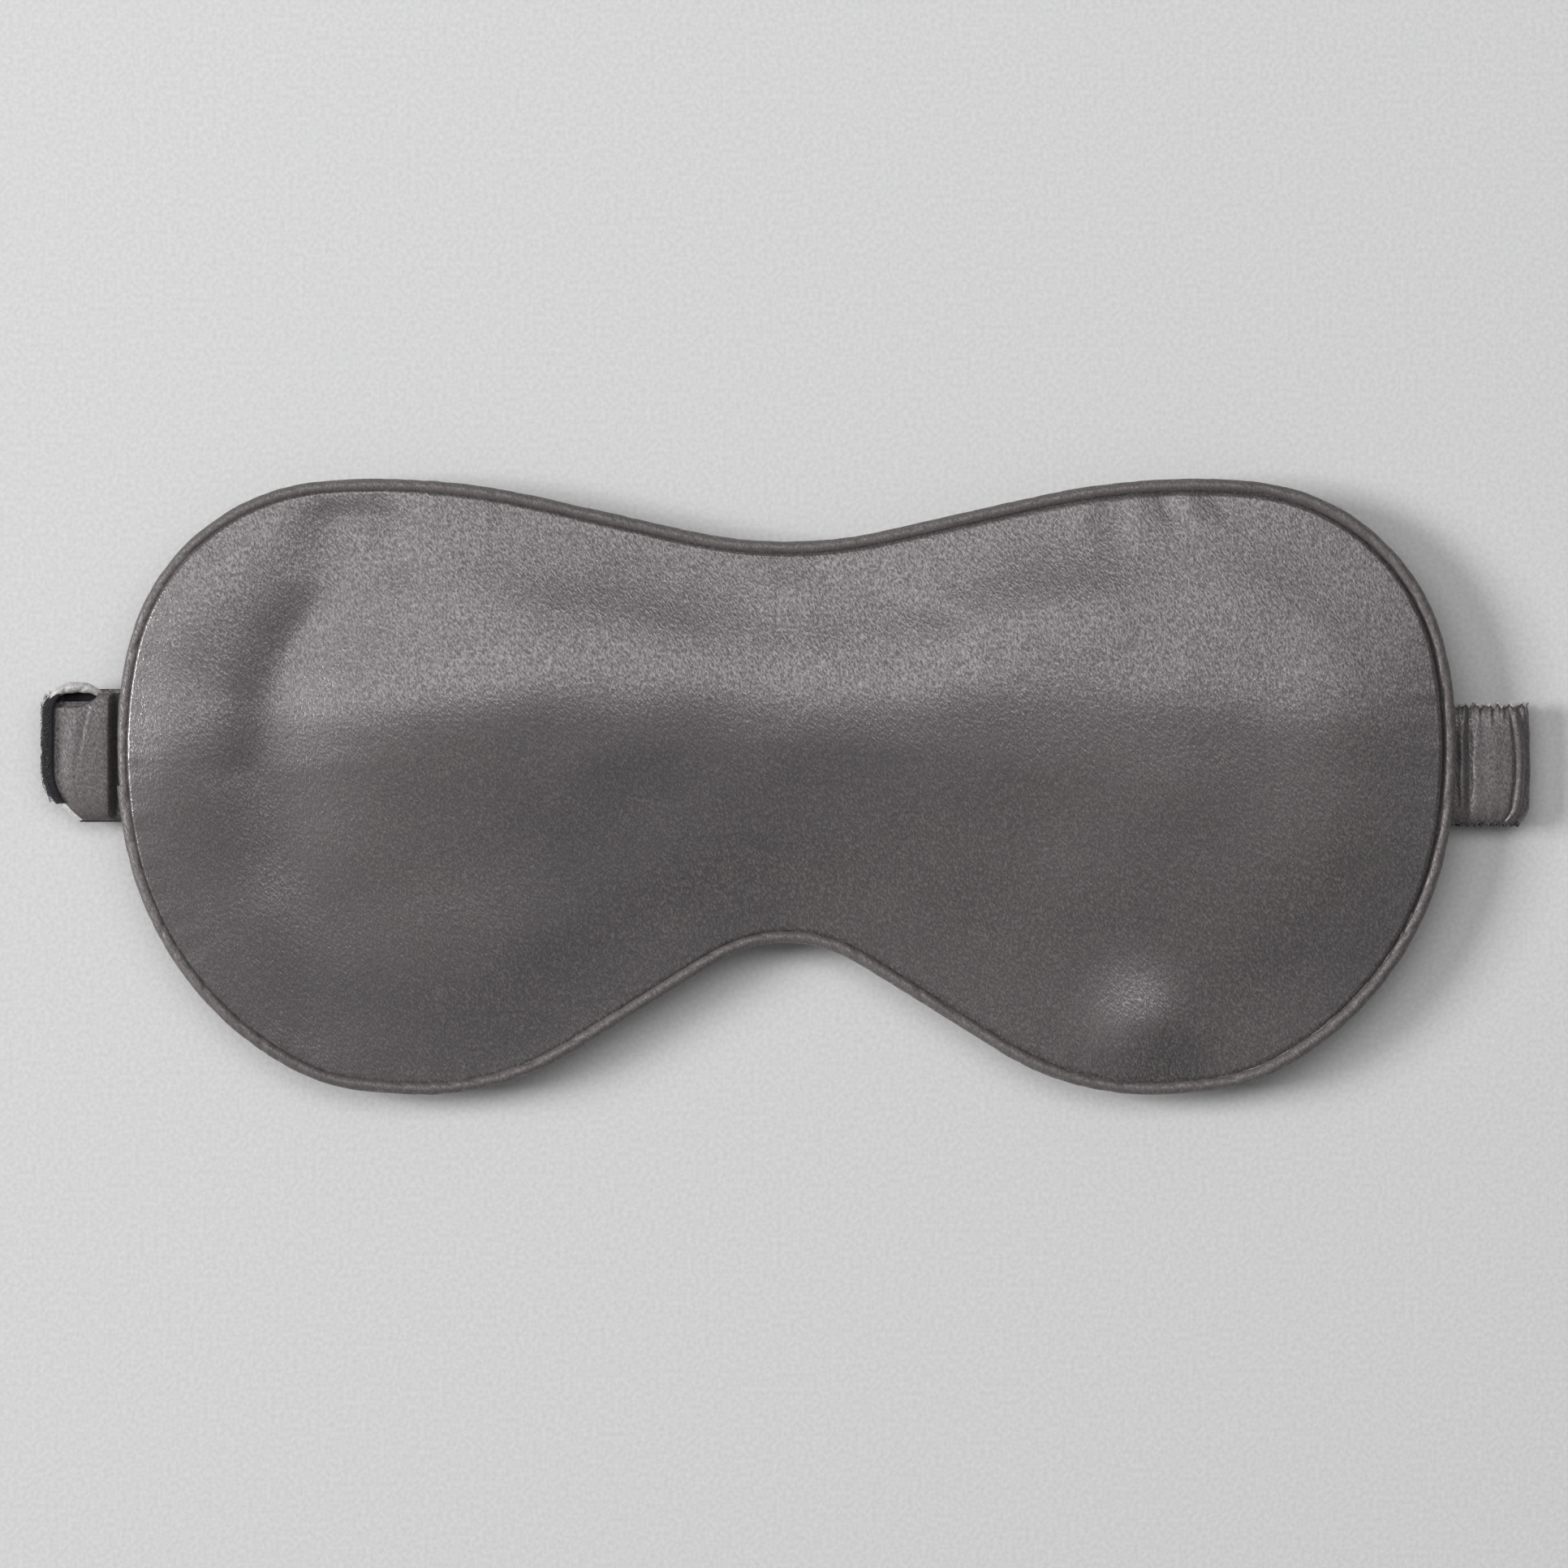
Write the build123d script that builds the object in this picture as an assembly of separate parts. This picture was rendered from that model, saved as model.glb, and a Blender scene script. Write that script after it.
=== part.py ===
from build123d import *
import os

# Padded satin sleep eye mask, lying face up with its head band fastened and folded flat behind it.
# Millimetres. +X runs along the mask, +Y towards the brow, +Z out of the front panel.
# The origin is the middle of the base, on the surface that the object lies on.

os.makedirs("parts", exist_ok=True)

# Outline of the mask: (corner x, corner y, round radius). The left half mirrors the right half.
BROW_DIP = (0.0, 36.7, 70.0)
NOSE_NOTCH = (0.0, -20.9, 21.0)
RIGHT_HALF = [
    (55.5, 49.3, 114.0),    # brow edge of the eye lobe
    (99.4, 46.3, 34.5),     # upper outer corner
    (106.5, 7.0, 77.0),     # temple
    (100.9, -31.1, 51.5),   # below the temple
    (73.0, -47.6, 28.0),    # lower outer corner
    (46.0, -49.7, 44.0),    # cheek edge
]

# Piping round the edge: a cotton cord in a bias-cut satin strip with a flange that is sewn in.
SEAM_Z = 7.4
PIPING_RADIUS = 1.3
CORD_RADIUS = 0.9
FLANGE_INSET = 8.0
FLANGE_HALF = 0.25
PAD_CLEARANCE = 0.2
THREAD_INSET = 3.4
THREAD_RADIUS = 0.25

# Crowned layers: (distance inside the outline, height from the seam plane).
FRONT_PROFILE = [(2.7, 0.25), (4.2, 1.7), (8.0, 3.4), (14.0, 4.8), (24.0, 5.6)]
BACK_PROFILE = [(2.7, 0.25), (5.0, 1.2), (10.0, 2.2), (20.0, 3.0)]
SATIN = 0.4
LINING = 0.3

# Head band. Each side leaves the seam under the piping, folds at its outer end and runs back.
HALF_LENGTH = 117.4
ANCHOR_INNER_X = 101.0
ANCHOR_TOP_Z = SEAM_Z - PIPING_RADIUS

RIGHT_Y = 3.3
RIGHT_WIDTH = 19.0
RIGHT_THICK = 2.0
ELASTIC_WIDTH = 15.6
ELASTIC_THICK = 1.0

LEFT_Y = 4.8
LEFT_WIDTH = 21.0
STRAP_THICK = 0.8
STRAP_WALL = 0.25
STRAP_HEM = 1.5
TAPE_WIDTH = 18.0
TAPE_THICK = 0.8
TAPE_GAP = 0.3
LEFT_END_X = -26.0

# Free end of the elastic side, with the hook tape that faces the loop tape.
TAB_START_X = -18.0
TAB_END_X = -24.0
PEEL_GAP = 0.3
HOOK_END_X = -72.0
HOOK_BACKING = 0.9
TAPE_MARGIN = 1.6

STITCH_LENGTH = 3.2
STITCH_PITCH = 4.8
STITCH_WIDTH = 0.4
STITCH_DEPTH = 0.25
TACK_RADIUS = 0.25
TACK_COUNT = 6
TACK_SETBACK = 0.7
TACK_TOP_Z = SEAM_Z - FLANGE_HALF

# Heights that follow from the stack of the folded band.
RIGHT_FOLD_Z = ANCHOR_TOP_Z / 2
RIGHT_FOLD_RADIUS = ANCHOR_TOP_Z / 2
RIGHT_FOLD_X = HALF_LENGTH - RIGHT_FOLD_RADIUS
TAPE_BOTTOM_Z = RIGHT_THICK + TAPE_GAP
TAPE_TOP_Z = TAPE_BOTTOM_Z + TAPE_THICK
LEFT_FOLD_RADIUS = (ANCHOR_TOP_Z + TAPE_THICK - TAPE_BOTTOM_Z) / 2
LEFT_FOLD_Z = TAPE_BOTTOM_Z + LEFT_FOLD_RADIUS
LEFT_FOLD_X = -HALF_LENGTH + LEFT_FOLD_RADIUS


def outline_corners():
    """Corners of the whole outline, anticlockwise from the brow dip."""
    left = [(-x, y, r) for x, y, r in RIGHT_HALF]
    return [BROW_DIP] + left + [NOSE_NOTCH] + RIGHT_HALF[::-1]


def inset_corners(inset):
    """Outline corners moved inwards. Outward rounds lose the inset and the two notches gain it."""
    corners = outline_corners()
    count = len(corners)
    moved = []
    for i, (x, y, r) in enumerate(corners):
        before = corners[i - 1]
        after = corners[(i + 1) % count]
        arrive = Vector(x - before[0], y - before[1]).normalized()
        leave = Vector(after[0] - x, after[1] - y).normalized()
        turn = arrive.X * leave.Y - arrive.Y * leave.X
        inward = Vector(-arrive.Y - leave.Y, arrive.X + leave.X).normalized()
        reach = inset / (-inward.X * arrive.Y + inward.Y * arrive.X)
        radius = r - inset if turn > 0 else r + inset
        moved.append((x + inward.X * reach, y + inward.Y * reach, radius))
    return moved


def outline_wire(inset, z=0.0):
    """Closed outline of tangent arcs and lines at a height."""
    corners = inset_corners(inset)
    points = [(x, y, z) for x, y, r in corners]
    radii = [r for x, y, r in corners]
    return FilletPolyline(*points, radius=radii, close=True).wire()


def outline_prism(inset, bottom, top):
    """Flat slab with the outline."""
    return extrude(make_face(outline_wire(inset, bottom)), top - bottom, dir=(0, 0, 1))


def crown(profile, depth, side):
    """Crowned half of the mask. depth is the distance inside the outer satin, side is +1 or -1."""
    base = profile[0][1]
    full = profile[-1][1] - base
    squeeze = (full - depth) / full
    sections = []
    for inset, height in profile:
        z = SEAM_Z + side * (base + (height - base) * squeeze)
        sections.append(outline_wire(inset + depth, z))
    return Solid.make_loft(sections, ruled=True)


def ring(inset, radius):
    """Round cord that follows the outline at the seam plane."""
    path = outline_wire(inset, SEAM_Z)
    section = Plane(origin=path @ 0, z_dir=path % 0) * Circle(radius)
    return sweep(section, path=path)


def bar(x0, x1, y_mid, width, z0, z1):
    """Box between two x positions and two heights."""
    box = Box(abs(x1 - x0), width, z1 - z0)
    return Pos((x0 + x1) / 2, y_mid, (z0 + z1) / 2) * box


def fold(x, z, y_mid, width, inner, outer, side):
    """Half turn of flat webbing about a Y axis. side is the direction in which it bulges."""
    turn = Rot(90, 0, 0) * (Cylinder(outer, width) - Cylinder(inner, width))
    half = Pos(side * outer, 0, 0) * Box(2 * outer, width, 2 * outer)
    return Pos(x, y_mid, z) * (turn & half)


def row_of_stitches(x0, x1, y, z0, z1):
    """Straight line of stitches along X."""
    count = int(abs(x1 - x0) // STITCH_PITCH)
    step = (x1 - x0) / count
    stitches = []
    for i in range(count):
        middle = x0 + step * (i + 0.5)
        half = STITCH_LENGTH / 2
        stitches.append(bar(middle - half, middle + half, y, STITCH_WIDTH, z0, z1))
    return stitches


def stitched_edges(x0, x1, y_mid, width, z0, z1):
    """Stitches along both long edges of a tape and a longer stitch across each end."""
    stitches = row_of_stitches(x0, x1, y_mid + width / 2, z0, z1)
    stitches += row_of_stitches(x0, x1, y_mid - width / 2, z0, z1)
    across = width - STITCH_PITCH
    for x in (x0, x1):
        stitches.append(bar(x - STITCH_WIDTH / 2, x + STITCH_WIDTH / 2, y_mid, across, z0, z1))
    return Compound(children=stitches)


def anchor_tacks(x, y_mid, width, z0, z1):
    """Row of tacking stitches that hold a band end in the seam."""
    tacks = []
    for i in range(TACK_COUNT):
        y = y_mid + width * ((i + 0.5) / TACK_COUNT - 0.5)
        tacks.append(Pos(x, y, (z0 + z1) / 2) * Cylinder(TACK_RADIUS, z1 - z0))
    return Compound(children=tacks)


def mask_layers():
    """Padded body: satin outside, blackout lining behind the front and wadding in the middle."""
    front = [crown(FRONT_PROFILE, depth, 1) for depth in (0.0, SATIN, SATIN + LINING)]
    back = [crown(BACK_PROFILE, depth, -1) for depth in (0.0, SATIN)]
    middle = outline_prism(FLANGE_INSET + PAD_CLEARANCE, SEAM_Z - FLANGE_HALF, SEAM_Z + FLANGE_HALF)
    return {
        "front_panel": front[0] - front[1],
        "blackout_lining": front[1] - front[2],
        "fill_pad": front[2] + middle + back[1],
        "back_panel": back[0] - back[1],
    }


def piping():
    """Cord, its satin cover with the sewn-in flange, and the thread that closes the seam."""
    centre = PIPING_RADIUS
    low = SEAM_Z - FLANGE_HALF
    high = SEAM_Z + FLANGE_HALF
    cord = ring(centre, CORD_RADIUS)
    root_inset = centre + (CORD_RADIUS + PIPING_RADIUS) / 2
    flange = outline_prism(root_inset, low, high) - outline_prism(FLANGE_INSET, low, high)
    cover = (ring(centre, PIPING_RADIUS) - cord) + flange
    return {
        "piping_cord": cord,
        "piping_cover": cover,
        "perimeter_thread": ring(THREAD_INSET, THREAD_RADIUS),
    }


def right_sleeve_section(x0, x1, z0):
    """Straight length of the satin sleeve, hollow for its elastic."""
    wall = (RIGHT_THICK - ELASTIC_THICK) / 2
    outer = bar(x0, x1, RIGHT_Y, RIGHT_WIDTH, z0, z0 + RIGHT_THICK)
    hollow = bar(x0, x1, RIGHT_Y, ELASTIC_WIDTH, z0 + wall, z0 + RIGHT_THICK - wall)
    return outer - hollow, hollow


def right_band():
    """Elastic side: anchored end, fold and gathered run, each a sleeve round its elastic."""
    wall = (RIGHT_THICK - ELASTIC_THICK) / 2
    anchor_z = ANCHOR_TOP_Z - RIGHT_THICK
    anchor, anchor_elastic = right_sleeve_section(ANCHOR_INNER_X, RIGHT_FOLD_X, anchor_z)
    run, run_elastic = right_sleeve_section(TAB_START_X, RIGHT_FOLD_X, 0.0)
    inner = RIGHT_FOLD_RADIUS - RIGHT_THICK
    place = (RIGHT_FOLD_X, RIGHT_FOLD_Z, RIGHT_Y)
    whole_fold = fold(*place, RIGHT_WIDTH, inner, RIGHT_FOLD_RADIUS, 1)
    elastic_fold = fold(*place, ELASTIC_WIDTH, inner + wall, RIGHT_FOLD_RADIUS - wall, 1)
    tack_x = ANCHOR_INNER_X + TACK_SETBACK
    return {
        "right_band_anchor": anchor,
        "right_elastic_anchor": anchor_elastic,
        "right_anchor_tacks": anchor_tacks(tack_x, RIGHT_Y, ELASTIC_WIDTH, anchor_z, TACK_TOP_Z),
        "right_band_fold": whole_fold - elastic_fold,
        "right_elastic_fold": elastic_fold,
        "gathered_sleeve": run,
        "elastic_run": run_elastic,
    }


def closure_tab():
    """Flat end of the elastic side with its tacks, and the hook tape that peels away."""
    tab = bar(TAB_END_X, TAB_START_X, RIGHT_Y, RIGHT_WIDTH, 0.0, RIGHT_THICK)
    start = TAB_END_X - PEEL_GAP
    backing = bar(HOOK_END_X, start, RIGHT_Y, RIGHT_WIDTH, 0.0, HOOK_BACKING)
    hook_x0 = HOOK_END_X + TAPE_MARGIN
    hook_x1 = start - TAPE_MARGIN
    hook_width = RIGHT_WIDTH - 2 * TAPE_MARGIN
    hook = bar(hook_x0, hook_x1, RIGHT_Y, hook_width, HOOK_BACKING, RIGHT_THICK)
    stitches = stitched_edges(
        hook_x0 + TAPE_MARGIN, hook_x1 - TAPE_MARGIN, RIGHT_Y, hook_width - 2 * TAPE_MARGIN,
        RIGHT_THICK - STITCH_DEPTH, RIGHT_THICK)
    middle = (TAB_START_X + TAB_END_X) / 2
    return {
        "elastic_end_tab": tab,
        "elastic_end_tacks": anchor_tacks(middle, RIGHT_Y, ELASTIC_WIDTH, 0.0, RIGHT_THICK),
        "hook_tab_backing": backing,
        "hook_tape": hook - stitches,
        "hook_tape_stitches": stitches,
    }


def left_band():
    """Flat side: satin strap with interfacing inside and loop tape on its outer face."""
    anchor_z = ANCHOR_TOP_Z - STRAP_THICK
    strap_top = TAPE_TOP_Z + STRAP_THICK
    anchor = bar(-ANCHOR_INNER_X, LEFT_FOLD_X, LEFT_Y, LEFT_WIDTH, anchor_z, ANCHOR_TOP_Z)
    sleeve = bar(LEFT_FOLD_X, LEFT_END_X, LEFT_Y, LEFT_WIDTH, TAPE_TOP_Z, strap_top)
    tape_end = LEFT_END_X - STRAP_HEM
    stiffener = bar(
        LEFT_FOLD_X, tape_end, LEFT_Y, LEFT_WIDTH - 2 * STRAP_HEM,
        TAPE_TOP_Z + STRAP_WALL, strap_top - STRAP_WALL)
    tape = bar(LEFT_FOLD_X, tape_end, LEFT_Y, TAPE_WIDTH, TAPE_BOTTOM_Z, TAPE_TOP_Z)
    stitches = stitched_edges(
        LEFT_FOLD_X + TAPE_MARGIN, tape_end - TAPE_MARGIN, LEFT_Y, TAPE_WIDTH - 2 * TAPE_MARGIN,
        TAPE_BOTTOM_Z, TAPE_BOTTOM_Z + STITCH_DEPTH)
    place = (LEFT_FOLD_X, LEFT_FOLD_Z, LEFT_Y)
    strap_outer = LEFT_FOLD_RADIUS - TAPE_THICK
    tack_x = -ANCHOR_INNER_X - TACK_SETBACK
    return {
        "left_strap_anchor": anchor,
        "left_anchor_tacks": anchor_tacks(tack_x, LEFT_Y, TAPE_WIDTH, anchor_z, TACK_TOP_Z),
        "left_strap_fold": fold(*place, LEFT_WIDTH, strap_outer - STRAP_THICK, strap_outer, -1),
        "loop_tape_fold": fold(*place, TAPE_WIDTH, strap_outer, LEFT_FOLD_RADIUS, -1),
        "left_strap_sleeve": sleeve - stiffener,
        "strap_stiffener": stiffener,
        "loop_tape": tape - stitches,
        "loop_tape_stitches": stitches,
    }


def main():
    """Builds every sub-part and writes one file for each."""
    nodes = {}
    for group in (mask_layers(), piping(), right_band(), closure_tab(), left_band()):
        nodes.update(group)
    for name, shape in nodes.items():
        export_step(shape, "parts/" + name + ".step")


main()
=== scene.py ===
import math
import random

import bpy
import numpy as np
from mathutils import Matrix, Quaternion, Vector, geometry, noise
from mathutils.bvhtree import BVHTree


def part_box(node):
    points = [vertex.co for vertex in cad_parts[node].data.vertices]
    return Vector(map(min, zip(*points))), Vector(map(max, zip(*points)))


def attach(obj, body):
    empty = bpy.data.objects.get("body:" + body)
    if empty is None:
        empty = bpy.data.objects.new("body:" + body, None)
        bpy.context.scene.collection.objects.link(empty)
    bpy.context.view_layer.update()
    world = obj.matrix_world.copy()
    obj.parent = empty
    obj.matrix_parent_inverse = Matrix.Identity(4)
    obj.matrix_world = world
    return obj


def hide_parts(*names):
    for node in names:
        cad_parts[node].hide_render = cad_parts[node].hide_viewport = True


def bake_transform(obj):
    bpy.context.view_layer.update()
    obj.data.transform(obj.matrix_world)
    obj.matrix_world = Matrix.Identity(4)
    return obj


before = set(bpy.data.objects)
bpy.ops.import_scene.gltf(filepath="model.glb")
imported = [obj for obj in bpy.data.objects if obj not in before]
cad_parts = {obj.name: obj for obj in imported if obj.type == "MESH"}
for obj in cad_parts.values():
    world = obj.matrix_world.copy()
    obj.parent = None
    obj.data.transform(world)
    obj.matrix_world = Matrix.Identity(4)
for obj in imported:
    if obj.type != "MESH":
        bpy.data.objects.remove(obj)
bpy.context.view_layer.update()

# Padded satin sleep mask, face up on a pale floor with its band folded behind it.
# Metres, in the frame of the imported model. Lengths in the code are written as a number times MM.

MM = 0.001


# -------- meshes

def set_all(thing, **values):
    """Sets properties of anything in Blender."""
    for key, value in values.items():
        setattr(thing, key, value)


def placed(name, data):
    """New object in the scene."""
    piece = bpy.data.objects.new(name, data)
    bpy.context.scene.collection.objects.link(piece)
    return piece


def mesh_piece(name, points, faces, material, smooth=True):
    """New object from points and faces in the model's frame."""
    mesh = bpy.data.meshes.new(name)
    mesh.from_pydata([tuple(p) for p in points], [], [tuple(f) for f in faces])
    mesh.validate()
    mesh.update()
    if smooth:
        mesh.polygons.foreach_set("use_smooth", [True] * len(mesh.polygons))
    mesh.materials.append(material)
    return placed(name, mesh)


def loft_faces(rows, around, closed_rows=False):
    """Quads between closed rings of points. closed_rows joins the last ring to the first."""
    faces = []
    for i in range(rows if closed_rows else rows - 1):
        onward = ((i + 1) % rows - i) * around
        for j in range(around):
            a = i * around + j
            b = i * around + (j + 1) % around
            faces.append((a, b, b + onward, a + onward))
    return faces


def tube_faces(rows, around):
    """Quads between closed rings of points, and a face over each end."""
    ring = tuple(range(around))
    last = (rows - 1) * around
    return loft_faces(rows, around) + [ring[::-1], tuple(last + k for k in ring)]


def shell_faces(faces, count):
    """Faces of a closed shell: the given ones, the same ones turned over on the points that come count later,
    and quads round the border between them."""
    border = {}
    for f in faces:
        for a, b in zip(f, f[1:] + f[:1]):
            if (b, a) in border:
                del border[(b, a)]
            else:
                border[(a, b)] = True
    turned = [tuple(i + count for i in f[::-1]) for f in faces]
    return faces + turned + [(b, a, a + count, b + count) for a, b in border]


def smoothstep(x):
    """Smooth rise from 0 to 1, for numbers and arrays."""
    x = np.clip(x, 0.0, 1.0)
    return x * x * (3 - 2 * x)


def rolling(x, y, size, seed):
    """Smooth noise from about -1 to 1 over the plane, with features of that size."""
    return noise.noise(Vector((x / size + seed * 7.31, y / size - seed * 3.17, seed * 1.9)))


def rolling_many(points, size, seed):
    """rolling() for an array of x, y points."""
    return np.array([rolling(p[0], p[1], size, seed) for p in points])


# -------- outline, read from the frame

def rim_loop(node):
    """Outer edge of the flat rim of a panel that is crowned upwards, as an ordered array of x, y."""
    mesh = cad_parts[node].data
    rim_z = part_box(node)[0].z
    same_point = 0.001 * MM
    same_height = 0.02 * MM
    mesh.calc_loop_triangles()
    keys = [tuple(round(c / same_point) for c in v.co) for v in mesh.vertices]
    uses = {}
    place = {}
    for triangle in mesh.loop_triangles:
        corners = [mesh.vertices[i].co for i in triangle.vertices]
        if any(abs(c.z - rim_z) > same_height for c in corners):
            continue
        ids = [keys[i] for i in triangle.vertices]
        for k, c in zip(ids, corners):
            place[k] = (c.x, c.y)
        for a, b in zip(ids, ids[1:] + ids[:1]):
            edge = frozenset((a, b))
            uses[edge] = uses.get(edge, 0) + 1
    links = {}
    for edge, count in uses.items():
        if count == 1 and len(edge) == 2:
            a, b = edge
            links.setdefault(a, []).append(b)
            links.setdefault(b, []).append(a)
    start = max(links, key=lambda k: place[k][0])
    loop = [start]
    before = None
    while True:
        onward = [k for k in links[loop[-1]] if k != before]
        before = loop[-1]
        if not onward or onward[0] == start:
            break
        loop.append(onward[0])
    return np.array([place[k] for k in loop])


def resampled(loop, count):
    """Closed loop with evenly spaced points, anticlockwise, its small facets smoothed out."""
    x, y = loop[:, 0], loop[:, 1]
    if np.sum(x * np.roll(y, -1) - np.roll(x, -1) * y) < 0:
        loop = loop[::-1]
    closed = np.vstack([loop, loop[:1]])
    steps = np.linalg.norm(np.diff(closed, axis=0), axis=1)
    along = np.concatenate([[0], np.cumsum(steps)])
    wanted = np.linspace(0, along[-1], count, endpoint=False)
    even = np.stack([np.interp(wanted, along, closed[:, k]) for k in (0, 1)], axis=1)
    facet = 2.0 * MM
    reach = max(1, int(facet / (along[-1] / count)))
    for _ in range(3):
        even = sum(np.roll(even, k, axis=0) for k in range(-reach, reach + 1)) / (2 * reach + 1)
    return even


def loop_normals(loop):
    """Outward unit normals of an anticlockwise loop."""
    tangent = np.roll(loop, -1, axis=0) - np.roll(loop, 1, axis=0)
    tangent /= np.linalg.norm(tangent, axis=1)[:, None]
    return np.stack([tangent[:, 1], -tangent[:, 0]], axis=1)


LOOP_COUNT = 1680
piping_low, piping_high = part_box("piping_cover")
PIPING_RADIUS = (piping_high.z - piping_low.z) / 2
SEAM_Z = (piping_high.z + piping_low.z) / 2
RIM_INSET = piping_high.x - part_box("front_panel")[1].x
rim = resampled(rim_loop("front_panel"), LOOP_COUNT)
normals = loop_normals(rim)
edge_loop = rim + normals * RIM_INSET


def loop_at(inset, step=1):
    """Outline moved inwards by inset, every step-th point."""
    return (edge_loop - normals * inset)[::step]


def depth_inside(points):
    """Distance of each point inside the outline, negative outside, and its nearest place round the loop."""
    points = np.asarray(points, float)
    depth = np.zeros(len(points))
    place = np.zeros(len(points), int)
    block = 2000
    for start in range(0, len(points), block):
        part = points[start:start + block]
        away = part[:, None, :] - edge_loop[None, :, :]
        squared = (away ** 2).sum(2)
        nearest = squared.argmin(1)
        rows = np.arange(len(part))
        side = (away[rows, nearest] * normals[nearest]).sum(1)
        depth[start:start + block] = np.sqrt(squared[rows, nearest]) * np.where(side > 0, -1, 1)
        place[start:start + block] = nearest
    return depth, place


# -------- materials

class Nodes:
    """Short way to build a material's node tree."""

    def __init__(self, name):
        self.material = bpy.data.materials.new(name)
        self.material.use_nodes = True
        self.tree = self.material.node_tree
        self.shader = self.tree.nodes["Principled BSDF"]

    def add(self, kind, **values):
        node = self.tree.nodes.new(kind)
        for key, value in values.items():
            if key in node.inputs:
                node.inputs[key].default_value = value
            else:
                setattr(node, key, value)
        return node

    def link(self, source, output, target, socket):
        self.tree.links.new(source.outputs[output], target.inputs[socket])

    def put(self, node, values):
        for key, value in values.items():
            node.inputs[key].default_value = value

    def ramp(self, stops):
        node = self.tree.nodes.new("ShaderNodeValToRGB")
        elements = node.color_ramp.elements
        while len(elements) < len(stops):
            elements.new(0.5)
        for element, (position, colour) in zip(elements, stops):
            element.position = position
            element.color = (*colour, 1)
        return node

    def noise(self, coordinates, scale, detail=2.0, stretch=(1, 1, 1), turn=0.0):
        """Noise texture on object coordinates. Its grains are stretched so many times along X, Y and Z,
        and then turned about Z."""
        mapping = self.add("ShaderNodeMapping", vector_type="TEXTURE")
        self.put(mapping, {"Scale": stretch, "Rotation": (0, 0, turn)})
        self.link(coordinates, "Object", mapping, "Vector")
        texture = self.add("ShaderNodeTexNoise", Scale=scale, Detail=detail)
        self.link(mapping, "Vector", texture, "Vector")
        return texture

    def average(self, first, second):
        """Mean of two noise textures."""
        both = self.add("ShaderNodeMath", operation="ADD")
        half = self.add("ShaderNodeMath", operation="MULTIPLY")
        self.put(half, {1: 0.5})
        self.link(first, "Fac", both, 0)
        self.link(second, "Fac", both, 1)
        self.link(both, "Value", half, 0)
        return half

    def bump(self, height, socket, strength, distance, below=None):
        node = self.add("ShaderNodeBump", Strength=strength, Distance=distance)
        self.link(height, socket, node, "Height")
        if below:
            self.link(below, "Normal", node, "Normal")
        return node


def satin(name, light, dark, roughness=0.20, grain=1.0):
    """Charcoal satin: short slanting float threads over fine upright ones, and slow colour drift."""
    n = Nodes(name)
    where = n.add("ShaderNodeTexCoord")
    drift = n.noise(where, 38, detail=3)
    twill = n.noise(where, 3700, detail=1.0, stretch=(1, 2.8, 1), turn=math.radians(33))
    upright = n.noise(where, 3900, detail=1.0, stretch=(1, 2.0, 1))
    threads = n.average(twill, upright)
    colour = n.ramp([(0.36, dark), (0.64, light)])
    tone = n.ramp([(0.36, (0.20, 0.20, 0.21)), (0.50, (0.92, 0.92, 0.92)), (0.64, (2.2, 2.18, 2.16))])
    mix = n.add("ShaderNodeMix", data_type="RGBA", blend_type="MULTIPLY")
    n.put(mix, {"Factor": 0.8 * grain})
    n.link(drift, "Fac", colour, "Fac")
    n.link(threads, "Value", tone, "Fac")
    n.link(colour, "Color", mix, "A")
    n.link(tone, "Color", mix, "B")
    n.link(mix, "Result", n.shader, "Base Color")
    rough = n.add("ShaderNodeMapRange")
    n.put(rough, {"From Min": 0.35, "From Max": 0.65, "To Min": roughness + 0.28, "To Max": roughness - 0.05})
    n.link(threads, "Value", rough, "Value")
    n.link(rough, "Result", n.shader, "Roughness")
    coarse = n.bump(twill, "Fac", 1.0, 0.060 * MM * grain)
    fine = n.bump(upright, "Fac", 1.0, 0.036 * MM * grain, below=coarse)
    n.link(fine, "Normal", n.shader, "Normal")
    n.put(n.shader, {"Sheen Weight": 0.05, "Sheen Roughness": 0.45, "Specular IOR Level": 1.0, "IOR": 1.6,
                     "Specular Tint": (1.0, 0.93, 0.95, 1)})
    return n.material


def cloth(name, colour, scale=1500, roughness=0.85, sheen=0.3, contrast=0.35):
    """Plain woven cloth with crossed threads."""
    n = Nodes(name)
    where = n.add("ShaderNodeTexCoord")
    warp = n.noise(where, scale, stretch=(1, 4, 1))
    weft = n.noise(where, scale, stretch=(4, 1, 1))
    threads = n.average(warp, weft)
    low = tuple(c * (1 - contrast) for c in colour)
    high = tuple(min(1, c * (1 + contrast)) for c in colour)
    tone = n.ramp([(0.35, low), (0.65, high)])
    n.link(threads, "Value", tone, "Fac")
    n.link(tone, "Color", n.shader, "Base Color")
    n.put(n.shader, {"Roughness": roughness, "Sheen Weight": sheen})
    bump = n.bump(threads, "Value", 0.6, 0.12 * MM)
    n.link(bump, "Normal", n.shader, "Normal")
    return n.material


# Colours of each satin where it is light and where it is dark
BODY_SATIN = ((0.086, 0.079, 0.080), (0.070, 0.065, 0.067))
# The piping's satin is the body's satin made about a fifth lighter: painted light, for the light its rounded
# top catches
LIT_PIPING_SATIN = ((0.105, 0.094, 0.091), (0.082, 0.073, 0.072))
STRAP_SATIN = ((0.080, 0.073, 0.072), (0.064, 0.058, 0.058))
# The pale satin is a painted highlight: the bright curl and corner of the left strap's charcoal edge where
# the light catches it
PAINTED_HIGHLIGHT_SATIN = ((0.62, 0.61, 0.60), (0.50, 0.49, 0.48))

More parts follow.
